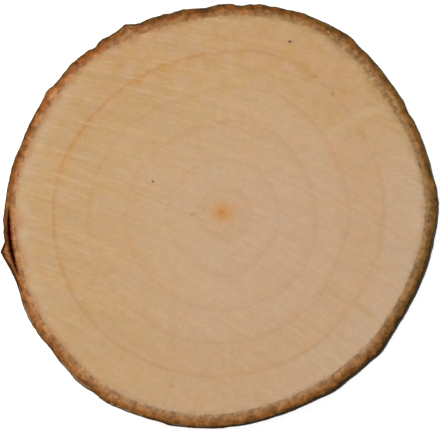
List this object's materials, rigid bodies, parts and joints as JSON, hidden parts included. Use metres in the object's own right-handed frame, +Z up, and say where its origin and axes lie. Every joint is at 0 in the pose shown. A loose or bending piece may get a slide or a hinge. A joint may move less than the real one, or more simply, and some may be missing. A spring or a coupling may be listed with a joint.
{
  "type": "wood slice",
  "caption": "Thin round slice sawn across a branch: pale wood disc in a ring of rough brown bark with a small slit and lip. Lies flat; its sawn face serves as a coaster, base or craft blank.",
  "frame": {"origin": "middle of the foot: the centre of the slice's outline, on the sawn face that it rests on", "axes": "+Z up out of the shown sawn face; +X and +Y across it, as the picture's right and up; the bark's slit and lip are at -X"},
  "size_m": [0.1014, 0.0983, 0.01],
  "materials": {
    "wood": "bare fine-sawn end grain, matt, pale cream to light tan with faint growth rings and saw marks",
    "bark": "rough and matt, orange-brown where sawn, dark grey-brown on the skin"
  },
  "bodies": {
    "root": {"wood": "wood", "bark": "bark"}
  },
  "joints": []
}
